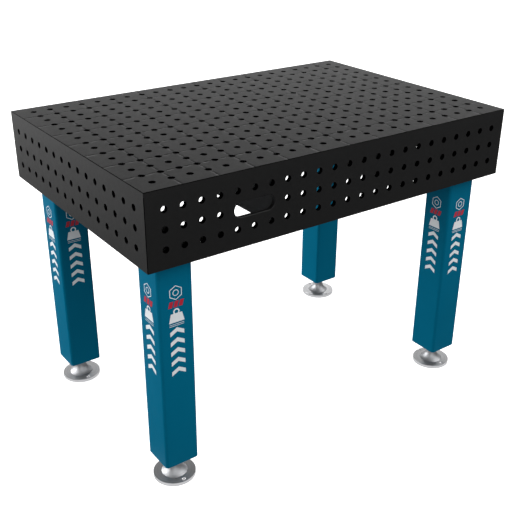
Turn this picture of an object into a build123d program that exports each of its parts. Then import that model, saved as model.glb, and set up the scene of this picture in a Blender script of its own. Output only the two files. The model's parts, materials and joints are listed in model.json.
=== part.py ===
from build123d import *
from math import radians, sqrt, tan
import os

# Welding table with a perforated box top on four legs with screw feet.
# Millimetres. +Z is up, the floor is z = 0, the table's centre is x = y = 0.
# +X runs along the long side, and -Y is the front.

# ---- Table box ----
TABLE_LENGTH = 1200.0
TABLE_WIDTH = 800.0
BOX_DEPTH = 200.0
PLATE = 12.0            # thickness of the top and side plates
HOLE_PITCH = 50.0
HOLE_D = 16.0           # fixture hole
HOLE_EDGE = 50.0        # least distance from an outer edge to the first hole
EDGE_CHAMFER = 1.5      # outer edges of the box

# ---- Hand slot in the front plate ----
SLOT_LENGTH = 120.0
SLOT_HEIGHT = 40.0
SLOT_FROM_CENTRE = -300.0
SLOT_ROW = 1            # the row of fixture holes that the slot lies on, from the top
SLOT_HOLE_GAP = 4.0     # a fixture hole nearer to the slot than this is left out

# ---- Ribs under the top ----
RIB_T = 8.0
CROSS_RIB_DEPTH = 163.0
CROSS_RIB_AT = 225.0    # wanted distance from the centre, set between two hole rows
LONG_RIB_DEPTH = 100.0
LONG_RIB_AT = 125.0
RIB_SLOT_CLEARANCE = 0.2

# ---- Legs ----
LEG_LENGTH = 615.0
LEG_SIZE = 100.0
LEG_WALL = 5.0
LEG_CORNER_R = 12.0
FLANGE_T = 10.0
FLANGE_WALL_GAP = 3.0   # between the flange and the side plates
FLANGE_CORNER_R = 8.0
MOUNT_T = 10.0
MOUNT_MARGIN = 10.0     # mounting plate beyond the flange
MOUNT_STRIP_LENGTH = 266.0
MOUNT_STRIP_WIDTH = 63.0
GUSSET_LEG = 60.0
GUSSET_TIP = 8.0
GUSSET_SNIPE = 12.0
GUSSET_T = 8.0
GUSSET_ON_LONG_SIDE = 130.0   # from the leg axis towards the table's centre, along X
GUSSET_ON_SHORT_SIDE = 30.0   # the same along Y
END_PLATE_T = 15.0
END_PLATE_CLEARANCE = 0.1
BUSH_WALL = 10.0
BUSH_H = 25.0

# ---- Flange fasteners, M12 ----
BOLT_D = 12.0
BOLT_HOLE_D = 13.5
BOLT_AF = 18.0
BOLT_HEAD_H = 7.5
BOLT_BEYOND_NUT = 4.0
NUT_H = 10.8
WASHER_D = 24.0
WASHER_HOLE_D = 13.0
WASHER_T = 2.5
WASHER_TUBE_GAP = 3.0   # between a washer and the leg tube
WASHER_EDGE_GAP = 3.0   # between a washer and the flange's edge
HEX_CONE = 30.0         # degrees, the cone that rounds the corners of a nut or a bolt head
HEX_FACE_SHARE = 0.97   # the round end face, as a share of the width across the flats
TURNING_OVERRUN = 0.1   # how far the turned profile passes a hexagon's corners

# ---- Levelling feet, M24 x 3 ----
SPINDLE_D = 24.0
RUNNING_FIT = 0.05      # radial clearance of every turning or sliding fit
DISC_D = 118.0
DISC_T = 11.0
DISC_CHAMFER = 1.0
BOSS_BASE_D = 72.0
BOSS_TOP_WALL = 5.0     # around the socket
BOSS_H = 37.0
BOSS_FLARE = 5.0        # how far the flare is hollowed in from a straight cone
ANCHOR_D = 10.0
ANCHOR_AT = 50.0        # anchor hole from the foot's axis
SOCKET_FLOOR_T = 18.0   # solid metal under the socket
PIVOT_D = 20.0
PIVOT_COLLAR_H = 10.0
NECK_D = 14.0
NECK_H = 6.0
PAD_T = 2.0
PAD_CLEARANCE = 0.15
RING_T = 2.0
RING_DEPTH = 1.15       # how far the ring reaches into the boss
RING_PLAY = 0.3
RING_NECK_GAP = 0.5
RING_SPLIT = 6.0
SHOULDER_GAP = 0.3
FLAT_CUT = 2.5          # depth of each wrench flat
FLAT_START = 0.7
FLAT_H = 6.5
LOCK_NUT_WALL = 6.0     # from the thread to a flat
LOCK_NUT_H = 12.0
FOOT_UP = 8.0           # free height between the boss and the lock nut at rest
SPINDLE_ABOVE_BUSH = 52.0

# ---- Sizes that follow ----
BOLT_AT = LEG_SIZE / 2 + WASHER_TUBE_GAP + WASHER_D / 2
FLANGE_SIZE = 2 * (BOLT_AT + WASHER_D / 2 + WASHER_EDGE_GAP)
LEG_INSET = PLATE + FLANGE_WALL_GAP + FLANGE_SIZE / 2
BUSH_D = SPINDLE_D + 2 * BUSH_WALL
BOSS_TOP_D = PIVOT_D + 2 * BOSS_TOP_WALL
LOCK_NUT_AF = SPINDLE_D + 2 * LOCK_NUT_WALL

# ---- Levels, from the floor up ----
BOSS_TOP_Z = DISC_T + BOSS_H
LOCK_NUT_Z = BOSS_TOP_Z + FOOT_UP
LEG_BOTTOM_Z = LOCK_NUT_Z + LOCK_NUT_H
BOX_BOTTOM_Z = LEG_BOTTOM_Z + LEG_LENGTH
TOP_Z = BOX_BOTTOM_Z + BOX_DEPTH
TOP_UNDERSIDE_Z = TOP_Z - PLATE
MOUNT_Z = BOX_BOTTOM_Z + FLANGE_T
MOUNT_TOP_Z = MOUNT_Z + MOUNT_T
BUSH_Z = LEG_BOTTOM_Z + END_PLATE_T
BUSH_TOP_Z = BUSH_Z + BUSH_H
PIVOT_Z = SOCKET_FLOOR_T + PAD_T
NECK_Z = PIVOT_Z + PIVOT_COLLAR_H
RING_Z = NECK_Z + RING_PLAY
SHOULDER_Z = BOSS_TOP_Z + SHOULDER_GAP
SPINDLE_TOP_Z = BUSH_TOP_Z + SPINDLE_ABOVE_BUSH

HALF_LENGTH = TABLE_LENGTH / 2
HALF_WIDTH = TABLE_WIDTH / 2
INNER_X = HALF_LENGTH - PLATE
INNER_Y = HALF_WIDTH - PLATE
LEG_X = HALF_LENGTH - LEG_INSET
LEG_Y = HALF_WIDTH - LEG_INSET
CORNERS = {
    "front_left": (-1, -1),
    "front_right": (1, -1),
    "rear_left": (-1, 1),
    "rear_right": (1, 1),
}


def hole_rows(span):
    """Hole positions along one direction, centred on 0."""
    count = int((span - 2 * HOLE_EDGE) / HOLE_PITCH) + 1
    return [(i - (count - 1) / 2) * HOLE_PITCH for i in range(count)]


def between_rows(rows, wanted):
    """The middle between two hole rows that lies nearest to a wanted distance from the centre."""
    middles = [(a + b) / 2 for a, b in zip(rows, rows[1:])]
    return min((m for m in middles if m > 0), key=lambda m: abs(m - wanted))


COLUMNS = hole_rows(TABLE_LENGTH)
ROWS = hole_rows(TABLE_WIDTH)
SIDE_ROW_COUNT = int((BOX_DEPTH - 2 * HOLE_EDGE) / HOLE_PITCH) + 1
SIDE_ROWS = [TOP_Z - HOLE_EDGE - i * HOLE_PITCH for i in range(SIDE_ROW_COUNT)]
CROSS_RIB_X = between_rows(COLUMNS, CROSS_RIB_AT)
LONG_RIB_Y = between_rows(ROWS, LONG_RIB_AT)


def hexagon(across_flats):
    """A hexagon given by its width across the flats."""
    return RegularPolygon(across_flats / 2, 6, major_radius=False)


def hex_prism(across_flats, height):
    """A hexagonal prism with both ends turned to a shallow cone, as on a nut or a bolt head."""
    corner_r = across_flats / sqrt(3)
    flat_r = across_flats / 2
    face_r = flat_r * HEX_FACE_SHARE
    outer_r = corner_r + TURNING_OVERRUN
    drop = (corner_r - flat_r) * tan(radians(HEX_CONE))
    profile = Polyline(
        (0, 0),
        (face_r, 0),
        (outer_r, drop),
        (outer_r, height - drop),
        (face_r, height),
        (0, height),
        close=True,
    )
    turned = revolve(Plane.XZ * make_face(profile), Axis.Z)
    return extrude(hexagon(across_flats), height) & turned


def ring(outer_d, inner_d, height):
    """A plain ring standing on z = 0."""
    return extrude(Circle(outer_d / 2) - Circle(inner_d / 2), height)


# ---- Table box ----
def top_plate():
    holes = [Pos(x, y) * Circle(HOLE_D / 2) for x in COLUMNS for y in ROWS]
    outline = Rectangle(TABLE_LENGTH, TABLE_WIDTH) - holes
    plate = extrude(Pos(0, 0, TOP_UNDERSIDE_Z) * outline, PLATE)
    rim = plate.faces().sort_by(Axis.Z)[-1].outer_wire().edges()
    uprights = plate.edges().filter_by(Axis.Z).filter_by(lambda e: e.geom_type == GeomType.LINE)
    uprights = uprights.filter_by(lambda e: abs(e.center().X) > INNER_X and abs(e.center().Y) > INNER_Y)
    return chamfer(list(rim) + list(uprights), EDGE_CHAMFER)


def side_blank(length, columns, slot=None):
    """A side plate's outline: u along the plate, v is the height above the floor."""
    height = TOP_UNDERSIDE_Z - BOX_BOTTOM_Z
    outline = Pos(0, BOX_BOTTOM_Z + height / 2) * Rectangle(length, height)
    holes = [(u, v) for u in columns for v in SIDE_ROWS]
    if slot:
        reach_u = SLOT_LENGTH / 2 + HOLE_D / 2 + SLOT_HOLE_GAP
        reach_v = SLOT_HEIGHT / 2 + HOLE_D / 2 + SLOT_HOLE_GAP
        holes = [h for h in holes if abs(h[0] - slot[0]) > reach_u or abs(h[1] - slot[1]) > reach_v]
        outline -= Pos(*slot) * SlotOverall(SLOT_LENGTH, SLOT_HEIGHT)
    return outline - [Pos(u, v) * Circle(HOLE_D / 2) for u, v in holes]


def long_side_plate(side, slot=None):
    """The front (side -1) or rear (side +1) plate, over the full length of the table."""
    outer_y = side * HALF_WIDTH
    face_y = max(outer_y, outer_y - side * PLATE)
    plate = extrude(Plane.XZ.offset(-face_y) * side_blank(TABLE_LENGTH, COLUMNS, slot), PLATE)
    ends = plate.edges().filter_by(Axis.Z)
    ends = ends.filter_by(lambda e: abs(e.center().Y) > INNER_Y and abs(e.center().X) > INNER_X)
    return chamfer(ends, EDGE_CHAMFER)


def short_side_plate(side):
    """The left (side -1) or right (side +1) plate, between the long ones."""
    face_x = min(side * HALF_LENGTH, side * HALF_LENGTH - side * PLATE)
    return extrude(Plane.YZ.offset(face_x) * side_blank(2 * INNER_Y, ROWS), PLATE)


def cross_rib(side):
    """A rib across the table, slotted from above for the two long ribs."""
    middle_z = TOP_UNDERSIDE_Z - CROSS_RIB_DEPTH / 2
    outline = Pos(0, middle_z) * Rectangle(2 * INNER_Y, CROSS_RIB_DEPTH)
    slot_w = RIB_T + 2 * RIB_SLOT_CLEARANCE
    slot_h = LONG_RIB_DEPTH + RIB_SLOT_CLEARANCE
    for at in (-LONG_RIB_Y, LONG_RIB_Y):
        outline -= Pos(at, TOP_UNDERSIDE_Z - slot_h / 2) * Rectangle(slot_w, slot_h)
    return extrude(Plane.YZ.offset(side * CROSS_RIB_X - RIB_T / 2) * outline, RIB_T)


def long_rib(side):
    """A rib along the table, which lies in the cross ribs' slots."""
    middle_z = TOP_UNDERSIDE_Z - LONG_RIB_DEPTH / 2
    return Pos(0, side * LONG_RIB_Y, middle_z) * Box(2 * INNER_X, RIB_T, LONG_RIB_DEPTH)


# ---- Leg mountings in the corners of the box ----
def bolt_places(sx, sy):
    """The four flange bolts of one leg."""
    return [
        (sx * LEG_X + dx * BOLT_AT, sy * LEG_Y + dy * BOLT_AT)
        for dx in (-1, 1)
        for dy in (-1, 1)
    ]


def mount_plate(sx, sy):
    """A plate in the corner of the box, with a strip along the long side."""
    square = LEG_INSET - PLATE + FLANGE_SIZE / 2 + MOUNT_MARGIN
    slope = MOUNT_STRIP_LENGTH - square
    corner = [
        (0, 0),
        (MOUNT_STRIP_LENGTH, 0),
        (MOUNT_STRIP_LENGTH, MOUNT_STRIP_WIDTH),
        (square, min(MOUNT_STRIP_WIDTH + slope, square - MOUNT_MARGIN)),
        (square, square),
        (0, square),
    ]
    points = [(sx * (INNER_X - u), sy * (INNER_Y - v)) for u, v in corner]
    outline = make_face(Polyline(*points, close=True))
    outline -= [Pos(x, y) * Circle(BOLT_HOLE_D / 2) for x, y in bolt_places(sx, sy)]
    return extrude(Pos(0, 0, MOUNT_Z) * outline, MOUNT_T, dir=(0, 0, 1))


def gusset():
    """A corner web: u away from the wall, v up from the mounting plate, with a snipe for the weld."""
    points = [
        (GUSSET_SNIPE, 0),
        (GUSSET_LEG, 0),
        (GUSSET_LEG, GUSSET_TIP),
        (GUSSET_TIP, GUSSET_LEG),
        (0, GUSSET_LEG),
        (0, GUSSET_SNIPE),
    ]
    return extrude(make_face(Polyline(*points, close=True)), GUSSET_T / 2, both=True)


def gussets(sx, sy):
    """Two webs on one mounting plate: one on the long side plate and one on the short one."""
    standing = Rotation(90, 0, 0) * gusset()
    on_short = standing if sx < 0 else Rotation(0, 0, 180) * standing
    on_short = Pos(sx * INNER_X, sy * (LEG_Y - GUSSET_ON_SHORT_SIDE), MOUNT_TOP_Z) * on_short
    on_long = Rotation(0, 0, -sy * 90) * standing
    on_long = Pos(sx * (LEG_X - GUSSET_ON_LONG_SIDE), sy * INNER_Y, MOUNT_TOP_Z) * on_long
    return Compound(children=[on_short, on_long])


# ---- Legs ----
def leg_tube(sx, sy):
    outer = RectangleRounded(LEG_SIZE, LEG_SIZE, LEG_CORNER_R)
    inner = LEG_SIZE - 2 * LEG_WALL
    outline = outer - RectangleRounded(inner, inner, LEG_CORNER_R - LEG_WALL)
    return extrude(Pos(sx * LEG_X, sy * LEG_Y, LEG_BOTTOM_Z) * outline, LEG_LENGTH)


def leg_flange(sx, sy):
    outline = Pos(sx * LEG_X, sy * LEG_Y) * RectangleRounded(FLANGE_SIZE, FLANGE_SIZE, FLANGE_CORNER_R)
    outline -= [Pos(x, y) * Circle(BOLT_HOLE_D / 2) for x, y in bolt_places(sx, sy)]
    return extrude(Pos(0, 0, BOX_BOTTOM_Z) * outline, FLANGE_T)


def end_plate(sx, sy):
    """The plate welded into the foot of the tube, bored for the spindle."""
    size = LEG_SIZE - 2 * LEG_WALL - 2 * END_PLATE_CLEARANCE
    corner_r = LEG_CORNER_R - LEG_WALL - END_PLATE_CLEARANCE
    outline = RectangleRounded(size, size, corner_r) - Circle(SPINDLE_D / 2 + RUNNING_FIT)
    return extrude(Pos(sx * LEG_X, sy * LEG_Y, LEG_BOTTOM_Z) * outline, END_PLATE_T)


def spindle_bush(sx, sy):
    """The bush on the end plate, which holds the spindle's thread."""
    bush = ring(BUSH_D, SPINDLE_D + 2 * RUNNING_FIT, BUSH_H)
    rim = bush.faces().sort_by(Axis.Z)[-1].outer_wire().edges()
    return Pos(sx * LEG_X, sy * LEG_Y, BUSH_Z) * chamfer(rim, EDGE_CHAMFER)


# ---- Flange fasteners ----
def bolt():
    """A hex bolt, head down, with the washer's face at z = 0."""
    grip = 2 * WASHER_T + FLANGE_T + MOUNT_T
    length = grip + NUT_H + BOLT_BEYOND_NUT
    shank = extrude(Circle(BOLT_D / 2), length)
    tip = shank.faces().sort_by(Axis.Z)[-1].edges()
    shank = chamfer(tip, EDGE_CHAMFER)
    return Pos(0, 0, -BOLT_HEAD_H) * hex_prism(BOLT_AF, BOLT_HEAD_H) + shank


def nut(across_flats, height, hole_d):
    return hex_prism(across_flats, height) - extrude(Circle(hole_d / 2), height)


def every_bolt_place(shape, z):
    """Copies of one fastener at every flange bolt, at height z."""
    places = [p for sx, sy in CORNERS.values() for p in bolt_places(sx, sy)]
    return [Pos(x, y, z) * shape for x, y in places]


# ---- Levelling feet ----
def foot_plate(sx, sy):
    """The turned foot: a disc with a flared boss, a blind socket and two anchor holes."""
    disc_r = DISC_D / 2
    base_r = BOSS_BASE_D / 2
    top_r = BOSS_TOP_D / 2
    top_z = BOSS_TOP_Z - DISC_CHAMFER
    run_r = base_r - top_r
    run_z = top_z - DISC_T
    chord = sqrt(run_r**2 + run_z**2)
    middle = (
        (base_r + top_r) / 2 - BOSS_FLARE * run_z / chord,
        (DISC_T + top_z) / 2 - BOSS_FLARE * run_r / chord,
    )
    socket_r = PIVOT_D / 2 + RUNNING_FIT
    lower = Polyline(
        (0, 0),
        (disc_r - DISC_CHAMFER, 0),
        (disc_r, DISC_CHAMFER),
        (disc_r, DISC_T - DISC_CHAMFER),
        (disc_r - DISC_CHAMFER, DISC_T),
        (base_r, DISC_T),
    )
    flare = ThreePointArc((base_r, DISC_T), middle, (top_r, top_z))
    upper = Polyline(
        (top_r, top_z),
        (top_r - DISC_CHAMFER, BOSS_TOP_Z),
        (socket_r, BOSS_TOP_Z),
        (socket_r, RING_Z + RING_T + RING_PLAY),
        (socket_r + RING_DEPTH, RING_Z + RING_T + RING_PLAY),
        (socket_r + RING_DEPTH, RING_Z),
        (socket_r, RING_Z),
        (socket_r, SOCKET_FLOOR_T),
        (0, SOCKET_FLOOR_T),
        (0, 0),
    )
    foot = revolve(Plane.XZ * make_face(lower + flare + upper), Axis.Z)
    for at in (-ANCHOR_AT, ANCHOR_AT):
        foot -= Pos(0, at, 0) * extrude(Circle(ANCHOR_D / 2), DISC_T)
    return Pos(sx * LEG_X, sy * LEG_Y, 0) * foot


def foot_spindle(sx, sy):
    """The screw: a pivot with a neck for the ring, wrench flats and the M24 shaft."""
    pivot_r = PIVOT_D / 2
    shaft_r = SPINDLE_D / 2
    profile = Polyline(
        (0, PIVOT_Z),
        (pivot_r - DISC_CHAMFER, PIVOT_Z),
        (pivot_r, PIVOT_Z + DISC_CHAMFER),
        (pivot_r, NECK_Z),
        (NECK_D / 2, NECK_Z),
        (NECK_D / 2, NECK_Z + NECK_H),
        (pivot_r, NECK_Z + NECK_H),
        (pivot_r, SHOULDER_Z),
        (shaft_r, SHOULDER_Z),
        (shaft_r, SPINDLE_TOP_Z - EDGE_CHAMFER),
        (shaft_r - EDGE_CHAMFER, SPINDLE_TOP_Z),
        (0, SPINDLE_TOP_Z),
        close=True,
    )
    spindle = revolve(Plane.XZ * make_face(profile), Axis.Z)
    flat_z = SHOULDER_Z + FLAT_START + FLAT_H / 2
    for side in (-1, 1):
        spindle -= Pos(0, side * (shaft_r - FLAT_CUT / 2), flat_z) * Box(SPINDLE_D, FLAT_CUT, FLAT_H)
    return Pos(sx * LEG_X, sy * LEG_Y, 0) * spindle


def thrust_pad(sx, sy):
    pad_r = PIVOT_D / 2 - PAD_CLEARANCE
    return Pos(sx * LEG_X, sy * LEG_Y, SOCKET_FLOOR_T) * extrude(Circle(pad_r), PAD_T)


def retaining_ring(sx, sy):
    """A split ring in the boss, over the pivot's collar."""
    outer_d = PIVOT_D + 2 * RING_DEPTH
    split = ring(outer_d, NECK_D + 2 * RING_NECK_GAP, RING_T)
    split -= Pos(outer_d / 2, 0, RING_T / 2) * Box(outer_d, RING_SPLIT, RING_T)
    return Pos(sx * LEG_X, sy * LEG_Y, RING_Z) * split


def lock_nut(sx, sy):
    shape = nut(LOCK_NUT_AF, LOCK_NUT_H, SPINDLE_D + 2 * RUNNING_FIT)
    return Pos(sx * LEG_X, sy * LEG_Y, LOCK_NUT_Z) * shape


PER_CORNER = {
    "leg_mount_plate": mount_plate,
    "corner_gussets": gussets,
    "leg_tube": leg_tube,
    "leg_flange": leg_flange,
    "leg_end_plate": end_plate,
    "spindle_bush": spindle_bush,
    "foot_plate": foot_plate,
    "foot_spindle": foot_spindle,
    "foot_thrust_pad": thrust_pad,
    "foot_retaining_ring": retaining_ring,
    "lock_nut": lock_nut,
}

slot_place = (SLOT_FROM_CENTRE, SIDE_ROWS[SLOT_ROW])
parts = {
    "top_plate": top_plate(),
    "front_side_plate": long_side_plate(-1, slot_place),
    "rear_side_plate": long_side_plate(1),
    "left_side_plate": short_side_plate(-1),
    "right_side_plate": short_side_plate(1),
    "cross_rib_left": cross_rib(-1),
    "cross_rib_right": cross_rib(1),
    "long_rib_front": long_rib(-1),
    "long_rib_rear": long_rib(1),
}
for corner, (sx, sy) in CORNERS.items():
    for name, make in PER_CORNER.items():
        parts[f"{name}_{corner}"] = make(sx, sy)

washer = ring(WASHER_D, WASHER_HOLE_D, WASHER_T)
low_washers = every_bolt_place(washer, BOX_BOTTOM_Z - WASHER_T)
high_washers = every_bolt_place(washer, MOUNT_TOP_Z)
flange_nut = nut(BOLT_AF, NUT_H, BOLT_D + 2 * RUNNING_FIT)
parts["flange_bolts"] = Compound(children=every_bolt_place(bolt(), BOX_BOTTOM_Z - WASHER_T))
parts["flange_washers"] = Compound(children=low_washers + high_washers)
parts["flange_nuts"] = Compound(children=every_bolt_place(flange_nut, MOUNT_TOP_Z + WASHER_T))

os.makedirs("parts", exist_ok=True)
for name, shape in parts.items():
    export_step(shape, f"parts/{name}.step")
print(f"{len(parts)} nodes, table height {TOP_Z:g} mm")
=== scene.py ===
# %% [markdown]
# # A perforated welding table
# A welding table is a stiff steel box with a grid of fixture holes, standing on four square legs
# with screw feet. Its parts were first built as exact CAD solids. This notebook keeps their places
# and sizes, and gives them the finish of the real thing: crisp holes, scribed lines, welds, threads,
# powder coat and turned metal. The CAD parts are loaded first and never moved.

# %% Load the CAD parts
import json
import math
from itertools import product

import bpy
import numpy as np
from mathutils import Matrix, Vector


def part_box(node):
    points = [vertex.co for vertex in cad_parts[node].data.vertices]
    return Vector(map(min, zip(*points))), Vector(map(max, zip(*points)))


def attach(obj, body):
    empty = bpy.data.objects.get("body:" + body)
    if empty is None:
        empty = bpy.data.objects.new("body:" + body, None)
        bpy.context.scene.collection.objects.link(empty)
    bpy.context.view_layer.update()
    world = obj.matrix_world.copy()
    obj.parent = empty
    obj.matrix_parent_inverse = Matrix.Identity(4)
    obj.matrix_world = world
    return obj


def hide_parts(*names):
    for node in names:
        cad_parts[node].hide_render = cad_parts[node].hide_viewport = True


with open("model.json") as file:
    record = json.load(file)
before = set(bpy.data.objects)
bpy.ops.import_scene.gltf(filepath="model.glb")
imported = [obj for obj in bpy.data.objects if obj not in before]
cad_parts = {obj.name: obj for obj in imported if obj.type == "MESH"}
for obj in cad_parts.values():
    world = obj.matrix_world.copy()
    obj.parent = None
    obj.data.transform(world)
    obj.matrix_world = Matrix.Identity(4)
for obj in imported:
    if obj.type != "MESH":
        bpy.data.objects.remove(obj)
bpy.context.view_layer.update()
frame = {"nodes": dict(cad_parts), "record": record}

MM = 0.001

# %% [markdown]
# ## Sizes
# Every place comes from the CAD parts, so the new pieces can't drift away from them. Only what the
# boxes of the parts can't tell, such as the pitch of the holes, is written down here, in metres.

# %% Read the table's sizes
CORNERS = ("front_left", "front_right", "rear_left", "rear_right")
SIDES = (-1, 1)


def box_of(node):
    """Lowest and highest corner of a CAD part."""
    return [np.round(corner, 6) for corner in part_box(node)]


HALF_LENGTH, HALF_WIDTH, TOP_Z = box_of("top_plate")[1]
UNDER_TOP_Z = box_of("top_plate")[0][2]
BOX_BOTTOM_Z = box_of("front_side_plate")[0][2]
PLATE = TOP_Z - UNDER_TOP_Z
INNER_X, INNER_Y = HALF_LENGTH - PLATE, HALF_WIDTH - PLATE
grid = next(m for m in frame["record"]["mounts"] if m["name"] == "top_fixture_grid")
HOLE_R = grid["dims"]["hole_r_mm"] * MM
HOLE_PITCH = 50 * MM
HALF_CELL = HOLE_PITCH / 2
EDGE_CHAMFER = 1.5 * MM

LEG_AXES = {corner: sum(box_of(f"leg_tube_{corner}")) / 2 for corner in CORNERS}
tube_low, tube_high = box_of("leg_tube_front_left")
TUBE_HALF = (tube_high[0] - tube_low[0]) / 2
FOOT_H = box_of("foot_plate_front_left")[1][2]
print(f"table {2 * HALF_LENGTH:.3f} x {2 * HALF_WIDTH:.3f} x {TOP_Z:.3f} m, plate {PLATE * 1000:.0f} mm")

# %% [markdown]
# ## Camera
# The table is seen from the front left and from above the worktop. The camera stands about 2.4 m
# from the middle of the worktop. Its three axes are worked out from two angles and a slight roll,
# which is easier to adjust than a matrix typed in by hand.

# %% Place the camera
AZIMUTH, ELEVATION, ROLL = math.radians(-35.718), math.radians(25.785), math.radians(0.328)
CAMERA_FROM_TOP_CENTRE = Vector((-1.3769, -1.9191, 0.6549))
LENS, SENSOR = 57.26, 36.0


def looking_from(azimuth, elevation):
    """The direction from the table to a camera or a light. Azimuth 0 is in front, 90 on the right."""
    return Vector((math.sin(azimuth) * math.cos(elevation), -math.cos(azimuth) * math.cos(elevation),
                   math.sin(elevation)))


def camera_axes():
    """Right, up and back of the camera, as unit vectors."""
    back = looking_from(AZIMUTH, ELEVATION)
    level_right = Vector((math.cos(AZIMUTH), math.sin(AZIMUTH), 0))
    right = level_right * math.cos(ROLL) + back.cross(level_right) * math.sin(ROLL)
    return right, back.cross(right), back


camera = bpy.data.objects.new("camera", bpy.data.cameras.new("camera"))
camera.data.lens = LENS
camera.data.sensor_width = SENSOR
camera.matrix_world = Matrix(camera_axes()).transposed().to_4x4()
camera.location = Vector((0, 0, TOP_Z)) + CAMERA_FROM_TOP_CENTRE
bpy.context.scene.collection.objects.link(camera)
bpy.context.scene.camera = camera
print("camera at", [round(c, 3) for c in camera.location])

# %% [markdown]
# ## A shell of points and faces
# Blender's own modifiers can cut holes, but a boolean on 345 holes leaves a tangle of thin
# triangles. Here each piece is collected face by face in a small class that stores a shared point
# once. The mesh then stays closed, made of even quads, and easy to inspect.

# %% Collect points and faces
CREASE = math.radians(32)


class Shell:
    """Points and faces of one piece. A mark on a face tells the material how it was worked."""

    def __init__(self):
        self.points, self.faces, self.marks, self.known = [], [], [], {}

    def point(self, p):
        key = tuple(round(c * 1e6) for c in p)
        if key not in self.known:
            self.known[key] = len(self.points)
            self.points.append(p)
        return self.known[key]

    def face(self, corners, mark=0.0):
        ring = list(dict.fromkeys(self.point(p) for p in corners))
        if len(ring) > 2:
            self.faces.append(ring)
            self.marks.append(mark)

    def wrap(self, loops, mark=0.0, joined=False, closed=True):
        """Quads from each loop to the next, and from the last to the first if joined."""
        for first, second in zip(loops, loops[1:] + (loops[:1] if joined else [])):
            count = len(first)
            for i in range(count if closed else count - 1):
                j = (i + 1) % count
                self.face((first[i], first[j], second[j], second[i]), mark)

    def take(self, part, place):
        """Adds the faces of another shell, moved to their place."""
        points = [tuple(p) for p in place(np.array(part.points, float))]
        for ring in part.faces:
            self.face([points[i] for i in ring])


def mesh_from(shell, name, place=None):
    """A smooth-shaded mesh with creases kept sharp. place turns local points into the table's own."""
    points = np.array(shell.points, float)
    if place is not None:
        points = place(points)
    mesh = bpy.data.meshes.new(name)
    mesh.from_pydata(points.tolist(), [], shell.faces)
    mesh.shade_smooth()
    mesh.set_sharp_from_angle(angle=CREASE)
    marks = mesh.attributes.new("worked", "FLOAT", "FACE")
    marks.data.foreach_set("value", np.array(shell.marks, np.float32))
    return mesh


def add_piece(name, mesh, finish, stands_for=(), body="table", at=(0, 0, 0)):
    """Puts a mesh or a shell into the scene, on its CAD body."""
    if isinstance(mesh, Shell):
        mesh = mesh_from(mesh, name)
    mesh.materials.clear()
    mesh.materials.append(finish)
    piece = bpy.data.objects.new(name, mesh)
    bpy.context.scene.collection.objects.link(piece)
    piece.location = at
    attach(piece, body)
    if stands_for:
        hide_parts(*stands_for)
    print(name, len(mesh.polygons), "faces")


print("crease angle", round(math.degrees(CREASE)), "degrees")

# %% [markdown]
# ## Materials: the node helpers
# A procedural material is a small graph. Adding nodes one by one takes many lines, so a small class
# makes a node, sets its options and joins its inputs in one call. A finish is such a graph with a
# Principled shader at its end, and its masks lay one colour over another.

# %% Node helpers
# Face marks that tell a material how a face was worked. The chamfers, the hole walls and the foot's boss get
# painted shade from them.
CHAMFERED, SCRIBED, BORED, DULL, INSIDE = 1.0, 2.0, 3.0, 4.0, 5.0


class Graph:
    """The nodes of one material or group. where is the output that gives the place on the piece."""

    def __init__(self, tree):
        self.tree, self.where = tree, None

    def feed(self, socket, value):
        """Links an output to a socket, or writes a number or a colour into it."""
        if isinstance(value, bpy.types.NodeSocket):
            self.tree.links.new(value, socket)
        else:
            socket.default_value = (*value, 1.0) if socket.type == "RGBA" else value

    def put(self, kind, *ordered, options=None, **named):
        """One shader node. Its inputs are given in their order or by name."""
        node = self.tree.nodes.new("ShaderNode" + kind)
        for option, value in (options or {}).items():
            setattr(node, option, value)
        for socket, value in zip(node.inputs, ordered):
            self.feed(socket, value)
        for name, value in named.items():
            self.feed(node.inputs[name.replace("_", " ")], value)
        return node

    def calc(self, operation, *values):
        return self.put("Math", *values, options={"operation": operation}).outputs[0]

    def times(self, first, second):
        return self.calc("MULTIPLY", first, second)

    def total(self, value, *others):
        for other in others:
            value = self.calc("ADD", value, other)
        return value

    def spread(self, value, low, high, to_low=0.0, to_high=1.0):
        """Stretches a range of a value to another range, and stops at its ends."""
        return self.put("MapRange", value, low, high, to_low, to_high).outputs["Result"]

    def between(self, share, low, high):
        """Turns a share from 0 to 1 into a range."""
        return self.spread(share, 0.0, 1.0, low, high)

    def mix(self, share, first, second):
        """Mixes two colours by a share from 0 to 1."""
        node = self.put("Mix", options={"data_type": "RGBA"})
        for index, value in ((0, share), (6, first), (7, second)):
            self.feed(node.inputs[index], value)
        return node.outputs[2]

    def coats(self, skin, *layers):
        """Lays colours over a skin, each with its own mask."""
        for mask, colour in layers:
            skin = self.mix(mask, skin, colour)
        return skin

    def noise(self, scale, detail=2.0, roughness=0.5, where=None):
        """Soft noise from 0 to 1 with so many features to the metre."""
        place = self.where if where is None else where
        return self.put("TexNoise", Vector=place, Scale=scale, Detail=detail, Roughness=roughness).outputs[0]

    def worked(self, mark):
        """1 on the faces that carry a mark, 0 on the others."""
        marks = self.put("Attribute", options={"attribute_name": "worked"}).outputs["Fac"]
        return self.calc("COMPARE", marks, mark, 0.1)

    def use(self, group, **values):
        """One use of a node group, with its own values."""
        return self.put("Group", options={"node_tree": group}, Where=self.where, **values).outputs


class Finish(Graph):
    """A material with one Principled shader. Values that are the same all over are set by name."""

    def __init__(self, name, **values):
        self.material = bpy.data.materials.new(name)
        self.material.use_nodes = True
        super().__init__(self.material.node_tree)
        self.where = self.put("TexCoord").outputs["Object"]
        self.shader = self.tree.nodes["Principled BSDF"].inputs
        for label, value in values.items():
            self.shader[label.replace("_", " ")].default_value = value

    def dress(self, skin, rough, height, depth):
        """Feeds the shader. depth is the real depth of the height map in metres."""
        bump = self.put("Bump", Height=height, Distance=depth).outputs["Normal"]
        for label, value in (("Base Color", skin), ("Roughness", rough), ("Normal", bump)):
            self.feed(self.shader[label], value)
        return self.material


print("node helpers ready")

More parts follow.
